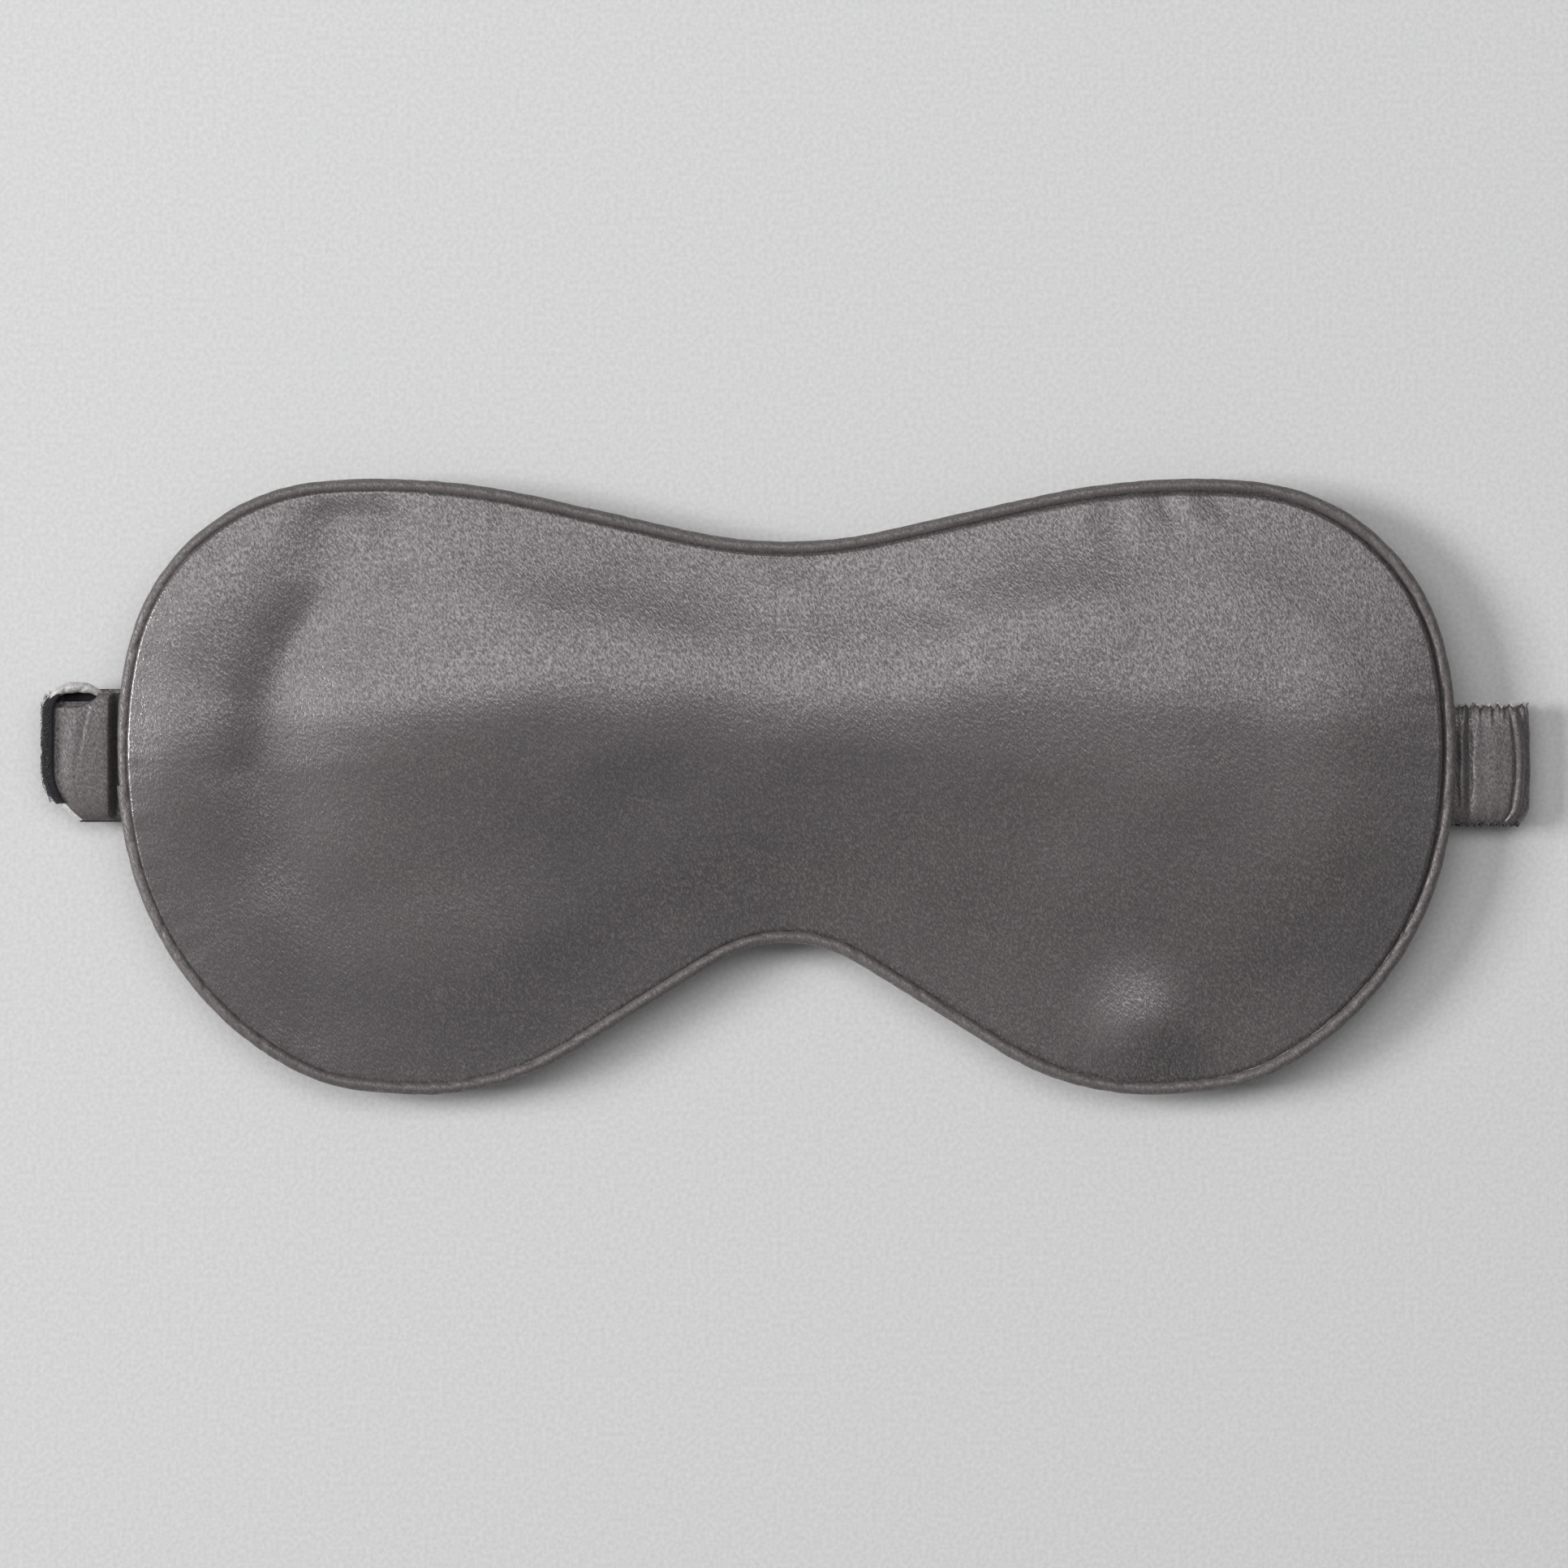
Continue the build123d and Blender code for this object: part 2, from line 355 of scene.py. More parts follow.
satin_front = satin("satin_front", *BODY_SATIN)
# Piping in the lighter copy of the body's satin, which is painted light
satin_piping = satin("satin_piping", *LIT_PIPING_SATIN, roughness=0.48, grain=0.6)
satin_strap = satin("satin_strap", *STRAP_SATIN, roughness=0.36, grain=0.9)
satin_back = satin("satin_back", *BODY_SATIN)
# Pale satin for the painted highlight on the left strap's edge
satin_painted_highlight = satin("satin_painted_highlight", *PAINTED_HIGHLIGHT_SATIN, roughness=0.3, grain=0.3)
blackout = cloth("blackout_cloth", (0.010, 0.010, 0.011))
wadding = cloth("wadding_fibres", (0.62, 0.61, 0.58), scale=420, roughness=0.95, sheen=0.6, contrast=0.12)
cotton = cloth("cotton_cord_fibres", (0.55, 0.52, 0.46), scale=900, contrast=0.2)
thread_dark = cloth("thread_dark", (0.055, 0.051, 0.054), scale=2600)
webbing = cloth("elastic_webbing", (0.03, 0.03, 0.031), scale=1100, roughness=0.7)
loop_cloth = cloth("loop_pile", (0.006, 0.005, 0.008), scale=900, roughness=0.9, sheen=0.1, contrast=0.6)
loop_fibre = cloth("loop_fibres", (0.022, 0.018, 0.026), scale=700, roughness=0.45)
hem_pale = cloth("pale_hem_thread", (0.42, 0.40, 0.38), scale=900, roughness=0.6, contrast=0.3)
hook_cloth = cloth("hook_nylon", (0.012, 0.012, 0.014), scale=900, roughness=0.45, sheen=0.0)
interfacing = cloth("interfacing_fibres", (0.6, 0.6, 0.6), scale=600, contrast=0.15)


# -------- padded body

def shaped(piece, kind, **values):
    """Applies a modifier with those values to the active piece."""
    set_all(piece.modifiers.new(kind, kind), **values)
    bpy.ops.object.modifier_apply(modifier=kind)


def swell(node, cap):
    """The wadding as a swollen pillow: a remeshed copy of the CAD pad, blown up by a short cloth simulation
    that moves no point further than cap."""
    pad = placed("swollen_pad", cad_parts[node].data.copy())
    bpy.context.view_layer.objects.active = pad
    for o in bpy.context.selected_objects:
        o.select_set(False)
    pad.select_set(True)
    shaped(pad, "REMESH", mode="VOXEL", voxel_size=3.0 * MM)
    before = np.array([v.co for v in pad.data.vertices], float)
    edge = pad.vertex_groups.new(name="edge")
    depth, _ = depth_inside(before[:, :2])
    for i, d in enumerate(depth):
        edge.add([i], float(np.clip(1 - (d - 4 * MM) / (6 * MM), 0, 1)), "REPLACE")
    cloth_modifier = pad.modifiers.new("cloth", "CLOTH")
    settings = cloth_modifier.settings
    set_all(settings, quality=6, mass=0.15, tension_stiffness=25, compression_stiffness=12,
            shear_stiffness=8, bending_stiffness=0.8, use_pressure=True, uniform_pressure_force=4,
            vertex_group_mass="edge")
    settings.effector_weights.gravity = 0
    scene = bpy.context.scene
    scene.frame_start = 1
    scene.frame_end = 20
    for step in range(scene.frame_start, scene.frame_end + 1):
        scene.frame_set(step)
    bpy.ops.object.modifier_apply(modifier="cloth")
    scene.frame_set(1)
    after = np.array([v.co for v in pad.data.vertices], float)
    moved = after - before
    length = np.linalg.norm(moved, axis=1)
    keep = np.minimum(1, cap / np.maximum(length, 1e-9))
    after = before + moved * keep[:, None]
    pad.data.vertices.foreach_set("co", after.astype(np.float32).ravel())
    shaped(pad, "SMOOTH", factor=0.5, iterations=6)
    shaped(pad, "SUBSURF", levels=1)
    return pad


def crowned_points():
    """Points of a panel: rings beside the rim, then an even grid over the middle."""
    rings = [1.55, 1.75, 1.95, 2.2, 2.55, 3.0, 3.6, 4.3, 5.2, 6.2, 7.4, 8.8, 10.3]
    step = 3
    points = [loop_at(inset * MM, step) for inset in rings]
    low, high = edge_loop.min(0), edge_loop.max(0)
    spacing = 1.35 * MM
    xs = np.arange(low[0], high[0], spacing)
    ys = np.arange(low[1], high[1], spacing * 0.866)
    grid = []
    for row, y in enumerate(ys):
        for x in xs:
            grid.append((x + (spacing / 2 if row % 2 else 0), y))
    grid = np.array(grid)
    depth, _ = depth_inside(grid)
    inner = grid[depth > (rings[-1] + 1.0) * MM]
    return np.vstack(points + [inner]), LOOP_COUNT // step


def triangulated(points, rim_count):
    """Triangles over the points, inside the rim."""
    rim_edges = [(i, (i + 1) % rim_count) for i in range(rim_count)]
    found = geometry.delaunay_2d_cdt([Vector(p) for p in points], rim_edges, [], 1, 1e-7)
    return np.array([tuple(v) for v in found[0]]), [tuple(f) for f in found[2]]


plan_points, rim_count = crowned_points()
plan, plan_faces = triangulated(plan_points, rim_count)
plan_depth, plan_place = depth_inside(plan)


def crown_profile(depth, table):
    """Height above or below the seam for each depth, smooth between a few given points."""
    d = np.array([row[0] for row in table]) * MM
    h = np.array([row[1] for row in table]) * MM
    slopes = np.gradient(h, d)
    out = np.zeros(len(depth))
    for i, x in enumerate(np.clip(depth, d[0], d[-1])):
        k = min(len(d) - 2, max(0, int(np.searchsorted(d, x)) - 1))
        w = d[k + 1] - d[k]
        t = (x - d[k]) / w
        out[i] = ((2 * t**3 - 3 * t**2 + 1) * h[k] + (t**3 - 2 * t**2 + t) * w * slopes[k]
                  + (3 * t**2 - 2 * t**3) * h[k + 1] + (t**3 - t**2) * w * slopes[k + 1])
    return out


# Crowns of the front and the back: depth inside the outline and height from the seam, in mm
FRONT_CROWN = [(1.5, -0.1), (1.8, 0.15), (2.1, 1.20), (2.6, 1.45), (3.6, 1.65), (5.0, 1.92), (8.0, 2.5),
               (14.0, 3.4), (24.0, 4.5), (36.0, 5.1), (50.0, 5.3)]
BACK_CROWN = [(1.6, 0.0), (2.7, 0.35), (5.0, 1.15), (10.0, 2.05), (20.0, 2.75), (50.0, 2.9)]

# The folded band under the body lifts it along this line, and it falls away by this share to each side.
# The line bends down towards both ends, by this much at each squared metre.
ROOF_Y = 15.5 * MM
ROOF_DROP = 0.62
ROOF_ARCH = 0.7

# The deep fold of the left lobe, from the brow seam to the cheek seam: route in mm, widths in mm to its left
# and right as one walks along it, and peak. It takes these shares of the wadding's height away at its top and
# at its bottom.
MAIN_FOLD = ([(-70.0, 54), (-71.0, 43), (-73.0, 31), (-78.3, 21.5), (-81.4, 13), (-82.6, 3), (-79.8, -6),
              (-76.8, -19), (-75.0, -50)], 12.5, 9.5, 1.6)
MAIN_FOLD_TOP = 0.80
MAIN_FOLD_BOTTOM = 0.42

# Other soft folds of the front: route downwards, widths to its left and right, height in mm, and peak
FOLDS = [
    ([(-63.5, 47), (-61.5, 36), (-62.5, 26)], 2.2, 3.5, -0.45, 1.6),
    ([(-2, 38), (1, 24)], 4.5, 4.5, 0.28, 2.0),
    ([(22, 30), (16, 12)], 7.0, 7.0, -0.30, 2.0),
]

# Broad soft swells of the wadding: x, y, radius and height, in mm
SWELLS = [
    (56, -39, 8.0, 1.9), (44, 26, 13, 0.35), (78, 18, 14, -0.30), (-36, 16, 13, 0.40), (93, -8, 12, 0.35),
    (12, 20, 10, -0.25), (93, 16, 10, 0.5), (-93, 30, 12, 0.8), (-94, 4, 11, 0.6), (-88, -16, 13, -0.35),
]

# Puckers at the brow seam: x, sideways lean, length and height, in mm, and the y and width they all have
PUCKERS = [
    (47.0, -1.5, 9.0, 0.20), (51.5, -2.5, 12.0, -0.38), (55.5, -1.0, 11.0, 0.30), (59.0, 1.5, 8.0, -0.34),
    (62.5, 2.5, 9.0, 0.28), (66.5, 3.0, 7.0, -0.26), (-47.0, 3.0, 7.0, -0.20), (-57.0, 2.5, 9.0, 0.20),
]
PUCKER_Y = 47.5
PUCKER_WIDTH = 1.3


def fold_line(points, route, left, right, peak):
    """Cross profile of a soft fold, 1 on its line and 0 away from it, and the place of each point along it
    from 0 to 1. route is in mm. left and right are its widths to each side, walking along the route. A lower
    peak makes a sharper line in the middle."""
    corners = np.array(route, float) * MM
    lengths = np.linalg.norm(np.diff(corners, axis=0), axis=1)
    best = np.full(len(points), np.inf)
    along = np.zeros(len(points))
    side = np.zeros(len(points))
    before = 0.0
    for a, b, length in zip(corners, corners[1:], lengths):
        axis = (b - a) / length
        offset = points - a
        t = np.clip(offset @ axis, 0, length)
        distance = np.linalg.norm(offset - t[:, None] * axis, axis=1)
        nearer = distance < best
        best = np.where(nearer, distance, best)
        along = np.where(nearer, (before + t) / lengths.sum(), along)
        side = np.where(nearer, offset @ np.array([-axis[1], axis[0]]), side)
        before += length
    width = (right + (left - right) * smoothstep(side / (0.8 * MM) + 0.5)) * MM
    return np.exp(-(best / width) ** peak), along


def crease(points, route, left, right, height, peak=2.0):
    """Soft fold of that height, or a valley where it is negative, that fades at both ends."""
    across, along = fold_line(points, route, left, right, peak)
    return height * MM * smoothstep((along + 0.05) / 0.15) * smoothstep((1.0 - along) / 0.6) * across


def wadding_height(pad_tree):
    """Height that the wadding gives the front: its crown, mixed with the swollen pad away from the seam."""
    lean = 0.30 * MM * np.clip(plan[:, 0] / (100 * MM), -1, 1)
    crown = crown_profile(plan_depth - lean, FRONT_CROWN)
    over_pad = 0.6 * MM
    swollen = np.zeros(len(plan))
    for i, (x, y) in enumerate(plan):
        hit = pad_tree.ray_cast(Vector((x, y, 0.05)), Vector((0, 0, -1)))
        swollen[i] = (hit[0].z - SEAM_Z + over_pad) if hit[0] else crown[i]
    share = 0.45 * smoothstep((plan_depth - 7 * MM) / (12 * MM))
    return crown * (1 - share) + swollen * share


def front_height(pad_tree):
    """Height of the front panel over the plan: wadding, roof line and deep fold, then the smaller shapes."""
    height = wadding_height(pad_tree)
    roof = ROOF_Y - ROOF_ARCH * plan[:, 0] ** 2
    away = (np.hypot(plan[:, 1] - roof, 4 * MM) - 4 * MM) / (45 * MM)
    height *= 1 - ROOF_DROP * away
    narrow = 0.5 + 0.5 * smoothstep(plan_depth / (14 * MM))
    inner = 0.62 + 0.38 * smoothstep((plan_depth - 2 * MM) / (4 * MM))
    across, along = fold_line(plan, *MAIN_FOLD)
    share = MAIN_FOLD_TOP + (MAIN_FOLD_BOTTOM - MAIN_FOLD_TOP) * along
    height *= 1 - share * inner * across ** (1 / narrow ** 1.6)
    middle = smoothstep((plan_depth - 3 * MM) / (14 * MM))
    height += middle * (0.50 * rolling_many(plan, 30 * MM, 1) + 0.22 * rolling_many(plan, 14 * MM, 2)) * MM
    clear_of_rim = 0.3 + 0.7 * smoothstep((plan_depth - 1.5 * MM) / (7 * MM))
    for route, left, right, size, peak in FOLDS:
        height += clear_of_rim * crease(plan, route, left, right, size, peak)
    for x, y, radius, size in SWELLS:
        away = ((plan - np.array([x, y]) * MM) ** 2).sum(1) / (radius * MM) ** 2
        height += size * MM * np.exp(-away)
    for x, lean, length, size in PUCKERS:
        route = [(x, PUCKER_Y), (x + lean, PUCKER_Y - length)]
        height += crease(plan, route, PUCKER_WIDTH, PUCKER_WIDTH, size)
    return height


def seam_ripples(seed, size):
    """Small gathers where the panel is drawn into the seam, dying away from it."""
    rng = random.Random(seed)
    along = np.arange(LOOP_COUNT) / LOOP_COUNT * 2 * math.pi
    wave = np.zeros(LOOP_COUNT)
    for _ in range(26):
        cycles = rng.randint(60, 190)
        wave += rng.uniform(0.3, 1.0) * np.sin(cycles * along + rng.uniform(0, 2 * math.pi))
    patch = np.zeros(LOOP_COUNT)
    for _ in range(9):
        patch += rng.uniform(0.3, 1.0) * np.sin(rng.randint(3, 17) * along + rng.uniform(0, 2 * math.pi))
    wave = wave / np.abs(wave).max() * (0.45 + 0.55 * smoothstep((patch / np.abs(patch).max() + 0.2) / 0.9))
    fade = np.exp(-np.clip(plan_depth - 2.2 * MM, 0, None) / (3.4 * MM))
    return size * MM * wave[plan_place] * fade


def panel(name, height, thickness, material):
    """Thin closed shell of cloth over the plan. height is that of its outer face. Its thickness is added
    below that face, or above it where it is negative."""
    outer = np.column_stack([plan, height])
    inner = np.column_stack([plan, height - thickness])
    faces = plan_faces if thickness > 0 else [f[::-1] for f in plan_faces]
    return mesh_piece(name, np.vstack([outer, inner]), shell_faces(faces, len(plan)), material)


swollen_pad = swell("fill_pad", cap=3.0 * MM)
pad_tree = BVHTree.FromObject(swollen_pad, bpy.context.evaluated_depsgraph_get())
front = SEAM_Z + front_height(pad_tree) + seam_ripples(5, 0.16)
back = SEAM_Z - crown_profile(plan_depth, BACK_CROWN)
back += smoothstep((plan_depth - 3 * MM) / (12 * MM)) * 0.25 * MM * rolling_many(plan, 26 * MM, 6)
back += seam_ripples(9, 0.14)

front_panel = panel("front_panel_satin", front, 0.3 * MM, satin_front)
back_panel = panel("back_panel_satin", back, -0.3 * MM, satin_back)
lining_piece = panel("blackout_lining_cloth", front - 0.35 * MM, 0.2 * MM, blackout)


def wadding_piece():
    """The wadding between the lining and the back panel, a closed pad that thins towards the seam."""
    keep = plan_depth > 3.0 * MM
    index = -np.ones(len(plan), int)
    index[keep] = np.arange(keep.sum())
    faces = [tuple(int(index[i]) for i in f) for f in plan_faces if all(keep[i] for i in f)]
    top = np.column_stack([plan, front - 0.62 * MM])[keep]
    bottom = np.column_stack([plan, back + 0.36 * MM])[keep]
    middle = (top[:, 2] + bottom[:, 2]) / 2
    least = 0.1 * MM
    top[:, 2] = np.maximum(top[:, 2], middle + least)
    bottom[:, 2] = np.minimum(bottom[:, 2], middle - least)
    return mesh_piece("wadding_pad", np.vstack([top, bottom]), shell_faces(faces, len(top)), wadding)


pad_piece = wadding_piece()
bpy.data.objects.remove(swollen_pad)
for piece, node in ((front_panel, "front_panel"), (back_panel, "back_panel"),
                    (lining_piece, "blackout_lining"), (pad_piece, "fill_pad")):
    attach(piece, "mask")
    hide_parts(node)


# -------- piping

# The drawn-tight cover over its cord: radius, and distance of its centre line inside the outline
PIPE_RADIUS = PIPING_RADIUS - 0.29 * MM
PIPE_INSET = PIPE_RADIUS + 0.04 * MM

# Its ends lap by this length, at this y on the left lobe
LAP = 3.0 * MM
LAP_Y = 0.2 * MM


def piping():
    """Satin strip drawn over the cord: bias wrinkles, slight unevenness, and its ends lapped."""
    around = 24
    path = loop_at(PIPE_INSET)
    join = int(np.argmin(np.abs(path[:, 1] - LAP_Y) + (path[:, 0] > 0) * 1.0))
    path = np.roll(path, -join, axis=0)
    out = np.roll(normals, -join, axis=0)
    count = len(path)
    length = np.linalg.norm(np.diff(np.vstack([path, path[:1]]), axis=0), axis=1).sum()
    spacing = length / count
    lap = int(LAP / spacing)
    taper = 4 * lap
    order = list(range(count)) + list(range(lap))
    points = []
    for row, i in enumerate(order):
        s = row * spacing
        radius = PIPE_RADIUS + 0.24 * MM * math.exp(-s / (6 * MM))
        if row > count - taper:
            radius -= 0.20 * MM * smoothstep((row - (count - taper)) / taper)
        radius += (0.07 * rolling(s, 0.0, 9 * MM, 3) + 0.05 * rolling(s, 0.0, 2.6 * MM, 12)) * MM
        for k in range(around):
            angle = 2 * math.pi * k / around
            twist = s / MM * 0.62 + angle * 0.9 + 4.0 * rolling(s, 0.3, 12 * MM, 4)
            amount = max(0.1, 0.6 + 1.2 * rolling(s, 1.7, 6 * MM, 8))
            wrinkle = math.exp(-5 * math.sin(twist) ** 2)
            r = radius - 0.15 * MM * amount * wrinkle
            side = math.cos(angle) * r
            points.append((path[i][0] + out[i][0] * side, path[i][1] + out[i][1] * side,
                           SEAM_Z + math.sin(angle) * r))
    return mesh_piece("piping_cover_satin", points, tube_faces(len(order), around), satin_piping)


piping_piece = piping()
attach(piping_piece, "mask")
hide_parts("piping_cover")


# -------- bands

def folded_path(start, fold, radius, side, end, step, run_step):
    """Side profile of a band: outwards on top, round its fold and back underneath. fold is the x, z of the
    fold's centre, radius that of the band's middle, and side the direction in which the fold bulges.
    Rows of x, z, outward normal x, z, and distance along."""
    rows = []
    count = max(1, round(abs(fold[0] - start) / step))
    for i in range(count):
        rows.append((start + (fold[0] - start) * i / count, fold[1] + radius, 0.0, 1.0))
    turns = max(14, round(math.pi * radius / step))
    for i in range(turns + 1):
        angle = math.pi / 2 - math.pi * i / turns
        nx, nz = side * math.cos(angle), math.sin(angle)
        rows.append((fold[0] + nx * radius, fold[1] + nz * radius, nx, nz))
    count = max(1, round(abs(end - fold[0]) / run_step))
    for i in range(1, count + 1):
        rows.append((fold[0] + (end - fold[0]) * i / count, fold[1] - radius, 0.0, -1.0))
    rows = np.array(rows)
    steps = np.linalg.norm(np.diff(rows[:, :2], axis=0), axis=1)
    return np.column_stack([rows, np.concatenate([[0], np.cumsum(steps)])])


def straight_path(start, end, z, step):
    """Side profile of a flat length, with its outward normal up."""
    xs = np.linspace(start, end, max(2, round(abs(end - start) / step)) + 1)
    flat = np.zeros(len(xs))
    return np.column_stack([xs, flat + z, flat, flat + 1, np.abs(xs - start)])


def band(name, path, shape, material, across=41):
    """Closed flat tube along a side profile, above the floor. shape(s, x, turn, t) gives its y, the heights
    of its outer and inner faces, and a shift along x: s is the distance along, turn goes from 0 on top to 1
    underneath, and t from -1 to 1 across."""
    t = np.sin(np.linspace(-math.pi / 2, math.pi / 2, across))
    round_edge = np.sqrt(1 - np.abs(t) ** 5)
    floor_gap = 0.03 * MM
    points = []
    for x, z, nx, nz, s in path:
        y, outer, inner, shift = (np.broadcast_to(v, t.shape) for v in shape(s, x, (1 - nz) / 2, t))
        offsets = ((range(across), outer * round_edge), (range(across - 2, 0, -1), -inner * round_edge))
        for order, height in offsets:
            for k in order:
                low = max(z + nz * height[k], floor_gap)
                points.append((x + nx * height[k] + shift[k], y[k], low))
    columns = 2 * across - 2
    faces = loft_faces(len(path), columns)
    last = (len(path) - 1) * columns
    for k in range(across - 1):
        ring = [k, k + 1] + ([columns - k - 1] if k + 1 < across - 1 else []) + ([columns - k] if k else [])
        faces.append(tuple(ring)[::-1])
        faces.append(tuple(last + c for c in ring))
    return mesh_piece(name, points, faces, material)


def middle_of(node):
    """Middle of a CAD node's box."""
    low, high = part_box(node)
    return (low + high) / 2


def half_width(node):
    """Half of the size of a CAD node's box along Y."""
    low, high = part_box(node)
    return (high.y - low.y) / 2


# Where the bands lie: middle line, half width, centre of the fold, and radii of the layers round it
LEFT_Y = middle_of("left_strap_anchor").y
LEFT_HALF = half_width("left_strap_anchor")
LEFT_FOLD = (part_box("left_strap_anchor")[0].x, middle_of("left_strap_fold").z)
STRAP_Z = middle_of("left_strap_sleeve").z
STRAP_RADIUS = LEFT_FOLD[1] - STRAP_Z
TAPE_RADIUS = LEFT_FOLD[1] - middle_of("loop_tape").z
LEFT_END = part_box("left_strap_sleeve")[1].x
RIGHT_Y = middle_of("right_band_anchor").y
RIGHT_HALF = half_width("right_band_anchor")
RIGHT_FOLD = (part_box("right_band_anchor")[1].x, middle_of("right_band_fold").z)
RIGHT_RADIUS = RIGHT_FOLD[1] - middle_of("gathered_sleeve").z
RUN_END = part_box("gathered_sleeve")[0].x
LEFT_TURN = ((LEFT_FOLD[0], LEFT_Y, 5.2 * MM), (LEFT_FOLD[0], LEFT_Y, 3.9 * MM))
RIGHT_TURN = ((RIGHT_FOLD[0], RIGHT_Y, 4.1 * MM), (RIGHT_FOLD[0], RIGHT_Y, 2.1 * MM))

# Both bands come out from under the piping at this distance from the middle
BAND_X = 100.9 * MM

# The gathered satin lies just inside the edges of the right band
GATHERED_HALF = RIGHT_HALF - 0.2 * MM

# Pleat over the left strap's top layer: a point of its edge, and the edge's lean
PLEAT_X = -113.2 * MM
PLEAT_Y = -4.7 * MM
PLEAT_LEAN = 0.196


def left_lay(x, turn, u):
    """How the left strap lies at its fold: askew, with its corners tucked in. Centre y, shift along x, and
    shares for being underneath and near the fold."""
    under = smoothstep(turn * 1.5)
    centre = LEFT_Y - 0.2 * MM * (1 - under)
    near_fold = smoothstep((-x / MM - 106.5) / 7)
    low = np.clip((-u - 0.15) / 0.85, 0, 1) ** 2.2
    high = np.clip((u - 0.70) / 0.30, 0, 1) ** 2
    shift = near_fold * (4.8 * low + 2.2 * high) * MM
    return centre, shift, under, near_fold


def left_strap_shape(s, x, turn, t):
    """Satin strap: a pleat lies across its top layer, its upper edge gapes, and it dives under the piping."""
    centre, shift, under, near_fold = left_lay(x, turn, t)
    on_top = 1 - under
    y = centre + t * (LEFT_HALF - 0.5 * MM * on_top)
    edge_x = PLEAT_X + (y - PLEAT_Y) * PLEAT_LEAN
    over = smoothstep((x - edge_x) / (0.22 * MM)) * smoothstep((-104.8 * MM - x) / (3.2 * MM))
    y = y - (1 - over) * near_fold * on_top * 1.6 * MM * smoothstep((t - 0.72) / 0.28)
    roll = 0.30 * MM * near_fold * np.cos((x - edge_x) / (2.1 * MM)) * (1 - over)
    dive = 1.7 * MM * smoothstep((x + 107.0 * MM) / (1.6 * MM))
    crumple = 0.10 * MM * math.sin(s / MM * 1.3) * np.cos(t * 2.4 + s / MM * 0.5)
    lift = on_top * (0.36 * MM * over + crumple * near_fold + roll - dive)
    ripple = 0.05 * MM * np.sin(s / MM * 0.9 + t * 3) * under
    return y, 0.40 * MM + lift + ripple, 0.40 * MM - lift * 0.85, shift


def loop_tape_shape(s, x, turn, t):
    """Loop tape on the strap's outer face."""
    u = t * 0.82 + 0.11
    centre, shift, *_ = left_lay(x, turn, u)
    waver = 0.12 * MM * math.sin(s / MM * 1.9) * np.abs(t) ** 6
    return centre + u * LEFT_HALF + waver, 0.36 * MM, 0.38 * MM, shift


# Ruches of the right band's top layer: distance along, bow towards the edges, width and height, in mm
RUCHES = [
    (5.5, 0.1, 0.55, 0.45), (6.8, -0.2, 0.5, -0.42), (7.9, 0.3, 0.9, 0.16), (10.6, 0.4, 1.9, 0.30),
    (12.9, -0.5, 0.9, 0.12), (13.9, -1.0, 0.28, -0.42), (14.6, -1.2, 0.6, 0.12), (15.3, -1.1, 0.28, -0.40),
    (16.0, -0.9, 0.5, 0.14), (16.7, -0.6, 0.4, -0.30),
]


def ruffle(s, size):
    """Wavy edge of gathered cloth."""
    mm = s / MM
    waves = math.sin(mm * 3.5) + 0.6 * math.sin(mm * 6.3 + 1.2) + 0.35 * math.sin(mm * 10.1 + 0.4)
    return size * MM * waves


def right_near_shape(s, x, turn, t):
    """Gathered satin at the right-hand fold."""
    rise = np.zeros(len(t))
    for where, bow, width, size in RUCHES:
        rise = rise + 0.8 * size * MM * np.exp(-((s / MM - where - bow * t ** 2) / width) ** 2)
    rise = rise + 0.05 * MM * np.sin(t * 9 + s / MM * 2.1)
    fringe = np.abs(t) ** 7
    waver = np.where(t > 0, ruffle(s, 0.26), ruffle(s + 3 * MM, 0.13))
    y = RIGHT_Y + t * GATHERED_HALF + fringe * waver
    flutter = fringe * np.where(t > 0, ruffle(s + 5 * MM, 0.24), ruffle(s + 1 * MM, 0.14))
    clear = smoothstep((s / MM - 4.0) / 1.2)
    outer = 0.92 * MM + (rise + flutter) * clear
    inner = 0.92 * MM - flutter * clear * 0.6
    low = 2.0 * MM * np.clip((-t - 0.70) / 0.30, 0, 1) ** 2 * smoothstep((s / MM - 9) / 4)
    return y, outer, inner, -low * 0.6


def ruching(s, t, size):
    """Ruched satin over slack elastic: cross folds that wander and split."""
    mm = s / MM
    lean = 0.8 * math.sin(mm * 0.23) * t + 0.5 * np.sin(t * 2.6 + mm * 0.31)
    fold = np.sin(mm * 1.9 + lean * 1.6) + 0.6 * np.sin(mm * 3.3 + lean * 2.3 + 1.0)
    return size * MM * fold * (0.75 + 0.25 * np.sin(mm * 0.7 + t * 2))


def run_shape(s, x, turn, t):
    """Gathered sleeve under the mask. Its folds stand up and its lower face lies on the floor."""
    open_end = smoothstep((104.2 * MM - x) / (4 * MM))
    shut_end = smoothstep((x - RUN_END) / (5 * MM))
    amount = open_end * shut_end
    fringe = np.abs(t) ** 7
    y = RIGHT_Y + t * GATHERED_HALF + fringe * np.sign(t) * ruffle(s, 0.20) * amount
    outer = 0.66 * MM + amount * ruching(s, t, 0.12)
    inner = 0.96 * MM + amount * (ruching(s + 7 * MM, t, 0.16) - 0.10 * MM)
    return y, outer, inner, 0.0


def flat_strip(y, half, outer, inner, ribs=0.0):
    """Shape of a flat strip for band(). It can have ribs along its length."""
    def shape(s, x, turn, t):
        rib = ribs * np.cos(t * 30)
        return y + t * half, outer + rib, inner + rib, 0.0
    return shape


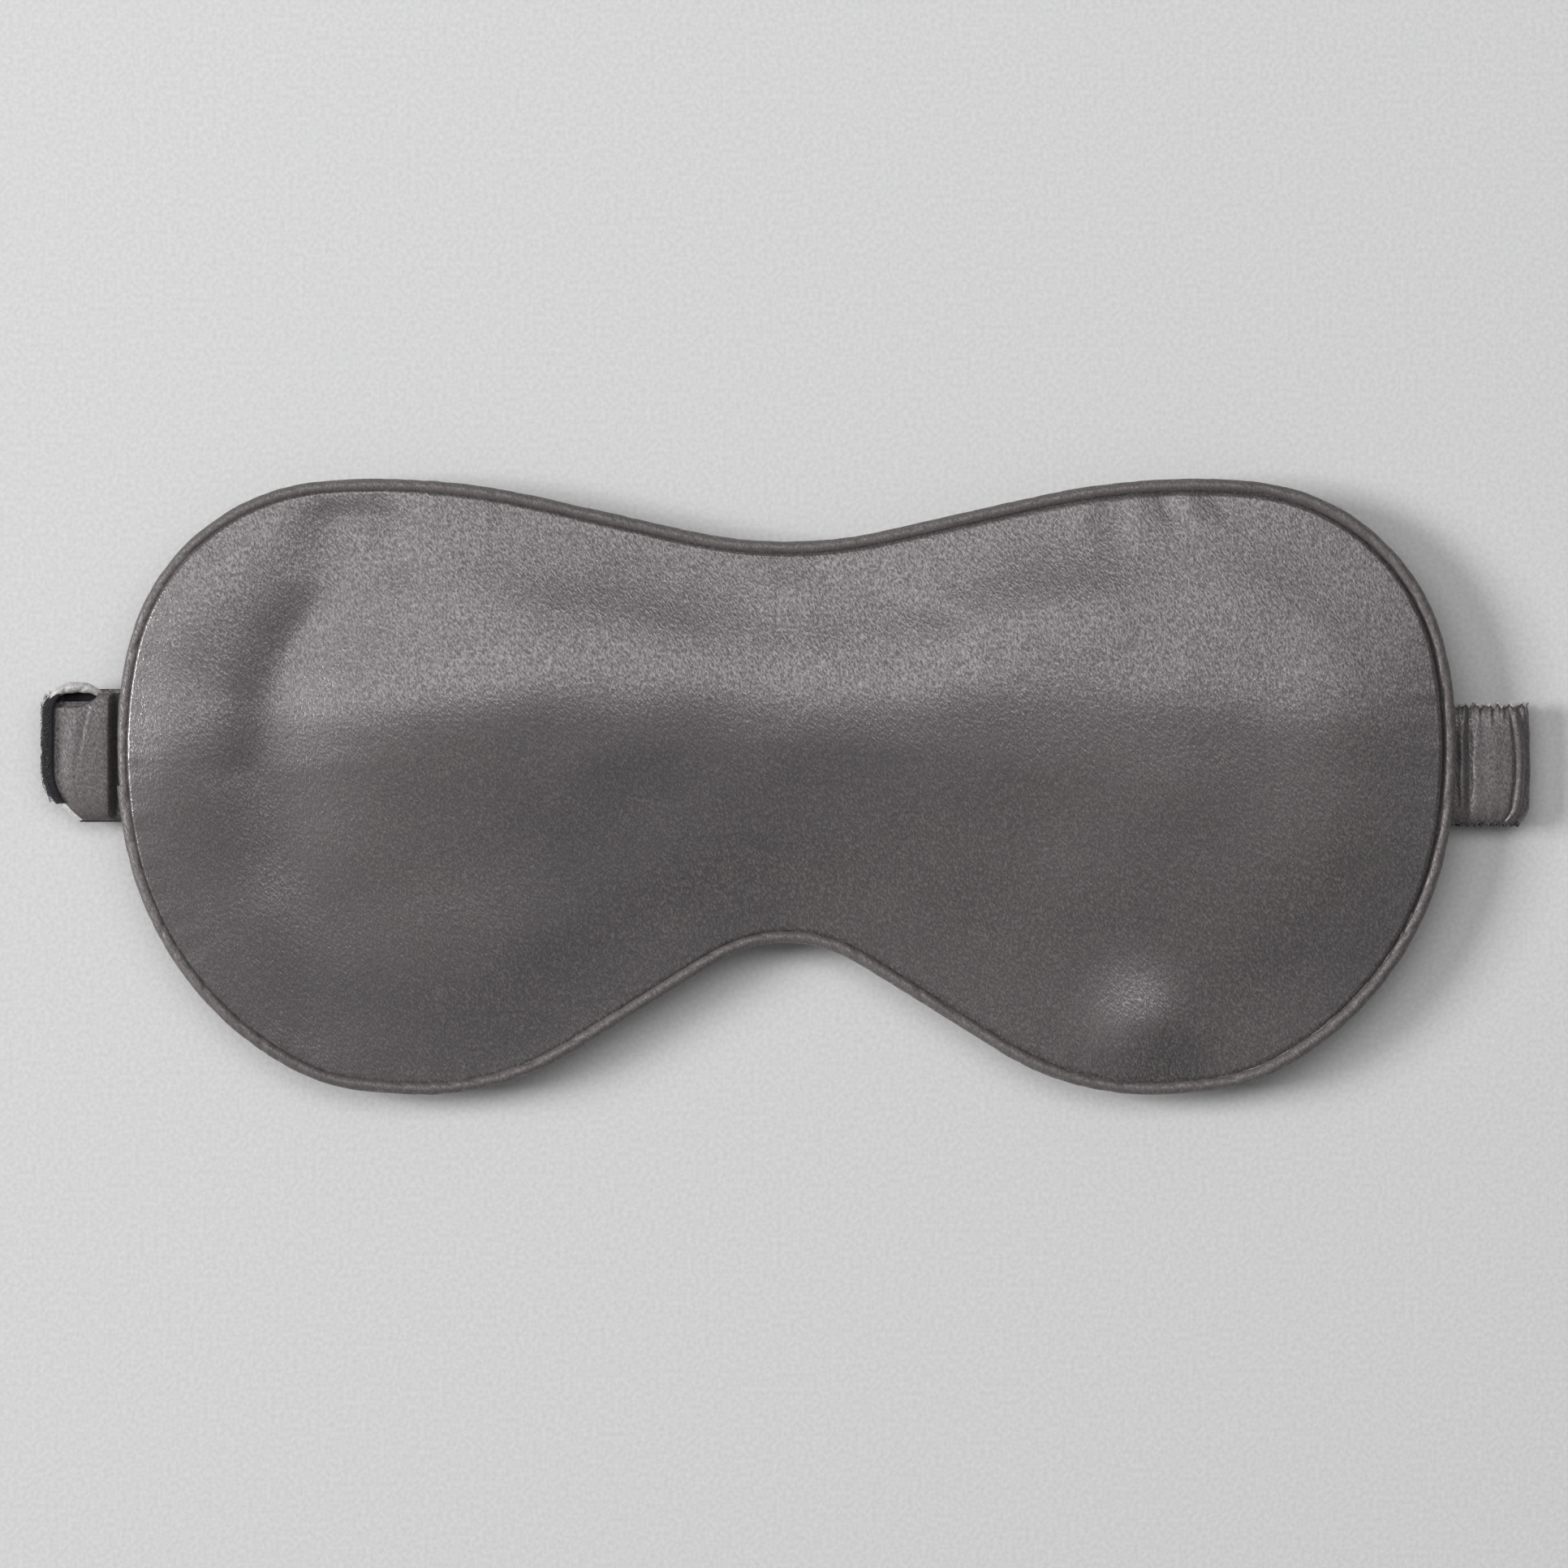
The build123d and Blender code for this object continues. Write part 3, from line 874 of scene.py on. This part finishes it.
ELASTIC = flat_strip(RIGHT_Y, 7.6 * MM, 0.44 * MM, 0.44 * MM, ribs=0.05 * MM)
INTERFACING = flat_strip(LEFT_Y, half_width("strap_stiffener"), 0.12 * MM, 0.12 * MM)
HOOK_BASE = flat_strip(RIGHT_Y, half_width("hook_tape"), 0.50 * MM, 0.55 * MM)


def tab_shape(s, x, turn, t):
    """Satin end of the elastic side, thick over the elastic and thin under the hook tape."""
    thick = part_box("elastic_end_tab")[1].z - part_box("hook_tab_backing")[1].z
    step = smoothstep((x + 24.4 * MM) / (1.2 * MM))
    pinch = 0.06 * MM * np.cos(t * 11) * step
    corner = smoothstep((-x / MM - 70.6) / 1.4)
    y = RIGHT_Y + t * (RIGHT_HALF - 1.3 * MM * corner ** 2)
    return y, 0.44 * MM + (thick - 0.36 * MM) * step + pinch, 0.42 * MM, 0.0


def tufts(name, places, material, height, spread, sweep_angle, thick, seed):
    """Small arched fibres, each on its place, which is a point and a normal, and in a random turn."""
    rng = random.Random(seed)
    steps = 6
    sides = 3
    tuft_faces = tube_faces(steps, sides)
    points = []
    faces = []
    for place, normal in places:
        normal = Vector(normal).normalized()
        flat = normal.orthogonal().normalized()
        flat.rotate(Quaternion(normal, rng.uniform(0, 2 * math.pi)))
        cross = normal.cross(flat)
        tall = height * rng.uniform(0.7, 1.15)
        wide = spread * rng.uniform(0.7, 1.3)
        faces += [tuple(len(points) + i for i in f) for f in tuft_faces]
        for i in range(steps):
            angle = sweep_angle * i / (steps - 1)
            centre = Vector(place) + flat * (1 - math.cos(angle)) * wide / 2
            centre += normal * math.sin(angle) * tall
            outward = (normal * math.sin(angle) - flat * math.cos(angle)).normalized()
            for k in range(sides):
                turn = 2 * math.pi * k / sides
                points.append(centre + (outward * math.cos(turn) + cross * math.sin(turn)) * thick)
    return mesh_piece(name, points, faces, material)


def at_place(path, shape, s, t):
    """One place on a band: x, z and outward normal x, z of its side profile, and the y, outer height and
    shift that shape gives there."""
    x, z, nx, nz = (np.interp(s, path[:, 4], path[:, k]) for k in range(4))
    y, outer, _, shift = (np.ravel(v)[0] for v in shape(s, x, (1 - nz) / 2, np.array([t])))
    return x, z, nx, nz, y, outer, shift


def tape_face(path, shape, count, seed):
    """Random places on a band's outer face, with their normals."""
    rng = random.Random(seed)
    lengths = path[:, 4]
    margin = 0.4 * MM
    places = []
    for _ in range(count):
        s = rng.uniform(lengths[0] + margin, lengths[-1] - margin)
        x, z, nx, nz, y, outer, shift = at_place(path, shape, s, rng.uniform(-0.97, 0.97))
        reach = outer * 0.96
        places.append(((x + nx * reach + shift, y, z + nz * reach), (nx, 0, nz)))
    return places


def hook_places():
    """Rows of hooks on the hook tape, every other row set off by half a space."""
    low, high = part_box("hook_tape")
    rows = 38
    columns = 15
    margin = 1.6 * MM
    places = []
    for i in range(rows):
        for k in range(columns):
            x = low.x + margin + (high.x - low.x - 2 * margin) * i / (rows - 1)
            y = low.y + margin + (high.y - low.y - 2 * margin) * (k + 0.5 * (i % 2)) / columns
            places.append(((x, y, high.z - 0.06 * MM), (0, 0, 1)))
    return places


def hem_thread(name, path, side, first, last, material):
    """Overlocked edge of the gathered satin: a wavy thread that follows the edge on that side, 1 or -1."""
    around = 7
    rows = int((last - first) / (0.13 * MM))
    points = []
    for i in range(rows):
        s = first + (last - first) * i / (rows - 1)
        x, z, nx, nz, y, outer, shift = at_place(path, right_near_shape, s, side * 0.995)
        mm = s / MM
        reach = (outer - 0.75 * MM) + 0.16 * MM * math.sin(mm * 7.1) + 0.12 * MM * math.sin(mm * 3.3)
        out = side * (0.10 + 0.16 * math.sin(mm * 5.2) + 0.10 * math.sin(mm * 12.7)) * MM
        radius = (0.17 + 0.05 * math.sin(mm * 9.1)) * MM
        for k in range(around):
            angle = 2 * math.pi * k / around
            rise = reach + math.sin(angle) * radius
            points.append((x + nx * rise + shift, y + out + math.cos(angle) * radius, z + nz * rise))
    return mesh_piece(name, points, tube_faces(rows, around), material)


def bent(piece, nodes, slot, a, b, start, end):
    """Bakes a piece's place into its points and hides the CAD nodes it stands for."""
    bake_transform(piece)
    if nodes:
        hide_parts(*nodes)


def paint_fold_shade_and_highlight(strap):
    """Paints light and shade into the strap's fold: black loop cloth under its gaping upper edge as painted
    shade, and pale satin at its tucked corner as a painted highlight.
    """
    strap.data.materials.append(loop_cloth)
    strap.data.materials.append(satin_painted_highlight)
    for face in strap.data.polygons:
        x, y, z = face.center
        # Painted shade: black loop cloth on the faces under the gaping upper edge, which lie only in shade
        if x < -108.6 * MM and y > 13.2 * MM and z < 5.4 * MM:
            face.material_index = 1
        # Painted highlight: pale satin on the strap's tucked corner
        if x < -110 * MM and y < -2.4 * MM and -0.70 * x - 0.72 * y > 81.5 * MM:
            face.material_index = 2


# Arc of the left strap's turned-out edge: centre, reach along X and Y, and angles of its ends in degrees
EDGE_ROLL_CENTRE = (-111.75 * MM, 13.3 * MM)
EDGE_ROLL_REACH = (4.05 * MM, 2.25 * MM)
EDGE_ROLL_ENDS = (183, 11)


def turned_out_edge():
    """Painted highlight on the strap's edge, turned out over the fold's upper edge: a roll of pale satin that
    tapers to both ends.
    """
    around = 18
    rows = 61
    points = []
    for i in range(rows):
        f = i / (rows - 1)
        angle = math.radians(EDGE_ROLL_ENDS[0] + (EDGE_ROLL_ENDS[1] - EDGE_ROLL_ENDS[0]) * f)
        cx = EDGE_ROLL_CENTRE[0] + EDGE_ROLL_REACH[0] * math.cos(angle)
        cy = EDGE_ROLL_CENTRE[1] + EDGE_ROLL_REACH[1] * math.sin(angle)
        cz = (5.0 - 0.5 * math.cos(angle)) * MM
        wide = (0.10 + 0.78 * math.sin(math.pi * f) ** 0.7 + 0.05 * math.sin(f * 31)) * MM
        tall = (0.10 + 0.95 * math.sin(math.pi * f) ** 0.5) * MM
        for k in range(around):
            turn = 2 * math.pi * k / around
            reach = math.cos(turn) * wide
            dent = 1 - 0.22 * math.exp(-8 * math.sin(f * 13 + 0.8 * turn) ** 2)
            points.append((cx + math.cos(angle) * reach, cy + math.sin(angle) * reach,
                           cz + math.sin(turn) * tall * dent))
    faces = [f[::-1] for f in tube_faces(rows, around)]
    return mesh_piece("left_strap_edge_painted_highlight", points, faces, satin_painted_highlight)


def left_band():
    """Satin strap, interfacing, loop tape and its pile."""
    path = folded_path(-BAND_X, LEFT_FOLD, STRAP_RADIUS, side=-1, end=LEFT_END, step=0.22 * MM,
                       run_step=0.5 * MM)
    strap = band("left_strap_satin", path, left_strap_shape, satin_strap, across=61)
    paint_fold_shade_and_highlight(strap)
    bent(strap, ["left_strap_anchor", "left_strap_fold", "left_strap_sleeve"], "satin_band",
         "mask", "left_strap", *LEFT_TURN)

    tape_path = folded_path(LEFT_FOLD[0], LEFT_FOLD, TAPE_RADIUS, side=-1, end=LEFT_END - 1.5 * MM,
                            step=0.2 * MM, run_step=0.5 * MM)
    off_the_top = 0.985
    tape_path = tape_path[tape_path[:, 3] < off_the_top]
    tape = band("loop_tape_cloth", tape_path, loop_tape_shape, loop_cloth)
    bent(tape, ["loop_tape_fold", "loop_tape"], "loop_pile", "mask", "left_strap", *LEFT_TURN)
    fold_path = tape_path[tape_path[:, 0] < -112 * MM]
    places = tape_face(tape_path, loop_tape_shape, 2300, seed=21)
    places += tape_face(fold_path, loop_tape_shape, 420, seed=23)
    pile = tufts("loop_tape_pile", places, loop_fibre, height=0.22 * MM, spread=0.75 * MM,
                 sweep_angle=math.pi, thick=0.045 * MM, seed=22)
    bent(pile, [], "loop_pile", "mask", "left_strap", *LEFT_TURN)

    # The edge roll in pale satin is a painted highlight
    edge_highlight_roll = turned_out_edge()
    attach(edge_highlight_roll, "mask")

    low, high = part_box("strap_stiffener")
    inner_path = straight_path(low.x + 2.0 * MM, high.x, STRAP_Z, 2.0 * MM)
    stiffener = band("strap_interfacing", inner_path, INTERFACING, interfacing, across=15)
    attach(stiffener, "left_strap")
    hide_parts("strap_stiffener")


def right_band():
    """Gathered satin over elastic, the flat end tab and the hook tape."""
    near = folded_path(BAND_X, RIGHT_FOLD, RIGHT_RADIUS, side=1, end=103.0 * MM, step=0.16 * MM,
                       run_step=0.25 * MM)
    sleeve = band("right_band_satin", near, right_near_shape, satin_strap, across=61)
    bent(sleeve, ["right_band_anchor", "right_band_fold"], "satin_band", "mask", "right_strap", *RIGHT_TURN)
    for side, word, colour in ((1, "upper", hem_pale), (-1, "lower", thread_dark)):
        hem = hem_thread(f"right_band_{word}_hem", near, side, 5.2 * MM, near[-1, 4] - 2 * MM, colour)
        bent(hem, [], "thread", "mask", "right_strap", *RIGHT_TURN)
    elastic = band("right_elastic_webbing", near, ELASTIC, webbing)
    bent(elastic, ["right_elastic_anchor", "right_elastic_fold"], "elastic",
         "mask", "right_strap", *RIGHT_TURN)

    stretch = ((104 * MM, RIGHT_Y, 0), (RUN_END, RIGHT_Y, 0))
    z = middle_of("gathered_sleeve").z
    run = straight_path(105.0 * MM, RUN_END - 0.6 * MM, z, 0.3 * MM)
    gathered = band("gathered_sleeve_satin", run, run_shape, satin_strap, across=37)
    bent(gathered, ["gathered_sleeve"], "satin_band", "right_strap", "band_end", *stretch)
    inner = straight_path(104.0 * MM, RUN_END - 2 * MM, z, 1.0 * MM)
    elastic_run = band("elastic_run_webbing", inner, ELASTIC, webbing)
    bent(elastic_run, ["elastic_run"], "elastic", "right_strap", "band_end", *stretch)

    low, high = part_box("hook_tab_backing")
    peel = ((-23.2 * MM, RIGHT_Y, 0), (-25.0 * MM, RIGHT_Y, 0))
    tab_path = straight_path(RUN_END + 0.1 * MM, low.x, (low.z + high.z) / 2, 0.35 * MM)
    tab = band("closure_tab_satin", tab_path, tab_shape, satin_strap)
    bent(tab, ["elastic_end_tab", "hook_tab_backing"], "satin_band", "band_end", "hook_tab", *peel)
    low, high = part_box("hook_tape")
    base_path = straight_path(low.x, high.x, middle_of("hook_tape").z, 0.5 * MM)
    base = band("hook_tape_base", base_path, HOOK_BASE, hook_cloth)
    hooks = tufts("hook_tape_hooks", hook_places(), hook_cloth, height=0.30 * MM, spread=0.36 * MM,
                  sweep_angle=0.8 * math.pi, thick=0.05 * MM, seed=41)
    for piece in (base, hooks):
        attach(piece, "hook_tab")
    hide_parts("hook_tape")


def inner_cord():
    """Three-strand cotton cord inside the piping."""
    around = 15
    path = loop_at(PIPE_INSET, 2)
    out = normals[::2]
    radius = PIPE_RADIUS - 0.08 * MM
    points = []
    for i in range(len(path)):
        for k in range(around):
            angle = 2 * math.pi * k / around
            r = (radius - 0.22 * MM) * (1 + 0.10 * math.cos(3 * angle + i * 2 * math.pi / 14))
            points.append((path[i][0] + out[i][0] * math.cos(angle) * r,
                           path[i][1] + out[i][1] * math.cos(angle) * r, SEAM_Z + math.sin(angle) * r))
    faces = loft_faces(len(path), around, closed_rows=True)
    piece = mesh_piece("piping_cord_cotton", points, faces, cotton)
    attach(piece, "mask")
    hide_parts("piping_cord")


left_band()
right_band()
inner_cord()


# -------- carried-over CAD nodes

def repaint(node, material):
    """Gives a CAD node that stays its own material."""
    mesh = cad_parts[node].data
    mesh.materials.clear()
    mesh.materials.append(material)


for node in ("perimeter_thread", "right_anchor_tacks", "left_anchor_tacks", "elastic_end_tacks",
             "hook_tape_stitches", "loop_tape_stitches"):
    repaint(node, thread_dark)


# -------- stage, lights and camera

def floor():
    """Large pale sheet of matt board under the mask."""
    n = Nodes("pale_floor")
    where = n.add("ShaderNodeTexCoord")
    fibres = n.noise(where, 1400, detail=3)
    tone = n.ramp([(0.32, (0.690, 0.690, 0.693)), (0.68, (0.775, 0.775, 0.778))])
    n.link(fibres, "Fac", tone, "Fac")
    n.link(tone, "Color", n.shader, "Base Color")
    n.put(n.shader, {"Roughness": 0.9})
    bump = n.bump(fibres, "Fac", 0.25, 0.2 * MM)
    n.link(bump, "Normal", n.shader, "Normal")
    size = 3.0
    corners = [(-size, -size, 0), (size, -size, 0), (size, size, 0), (-size, size, 0)]
    piece = mesh_piece("floor", corners, [(0, 1, 2, 3)], n.material, smooth=False)


def softbox(name, place, target, width, height, power):
    """Rectangular soft light that points at a target."""
    data = bpy.data.lights.new(name, "AREA")
    set_all(data, shape="RECTANGLE", size=width, size_y=height, energy=power)
    light = placed(name, data)
    light.location = place
    light.rotation_mode = "QUATERNION"
    light.rotation_quaternion = (Vector(target) - Vector(place)).to_track_quat("-Z", "Y")


def studio():
    """Large soft light from the left, a softer one beyond the brow edge, and an even pale surround."""
    world = bpy.data.worlds.new("studio")
    world.use_nodes = True
    background = world.node_tree.nodes["Background"]
    background.inputs["Color"].default_value = (1.0, 1.0, 1.0, 1)
    background.inputs["Strength"].default_value = 0.18
    bpy.context.scene.world = world
    softbox("key_left", (-2.22, 0.22, 1.42), (0, 0, 0), 0.92, 0.92, 53)
    softbox("brow_light", (-0.33, 0.44, 1.35), (-0.33, 0.44, 0), 1.28, 0.64, 6.6)
    softbox("right_fill", (0.69, 0.42, 1.35), (0.69, 0.42, 0), 0.76, 0.60, 1.9)


def camera():
    """Straight down from above the middle of the mask, framed as wide as the mask and a little floor."""
    view_width = 0.24674
    height = 1.6
    sensor = 36.0
    data = bpy.data.cameras.new("camera")
    lens = sensor * (height - SEAM_Z) / view_width
    set_all(data, sensor_width=sensor, lens=lens, clip_start=0.01, clip_end=20)
    piece = placed("camera", data)
    piece.location = (-0.0004, 0.0003, height)
    bpy.context.scene.camera = piece


floor()
studio()
camera()
bpy.context.scene.view_settings.view_transform = "Standard"
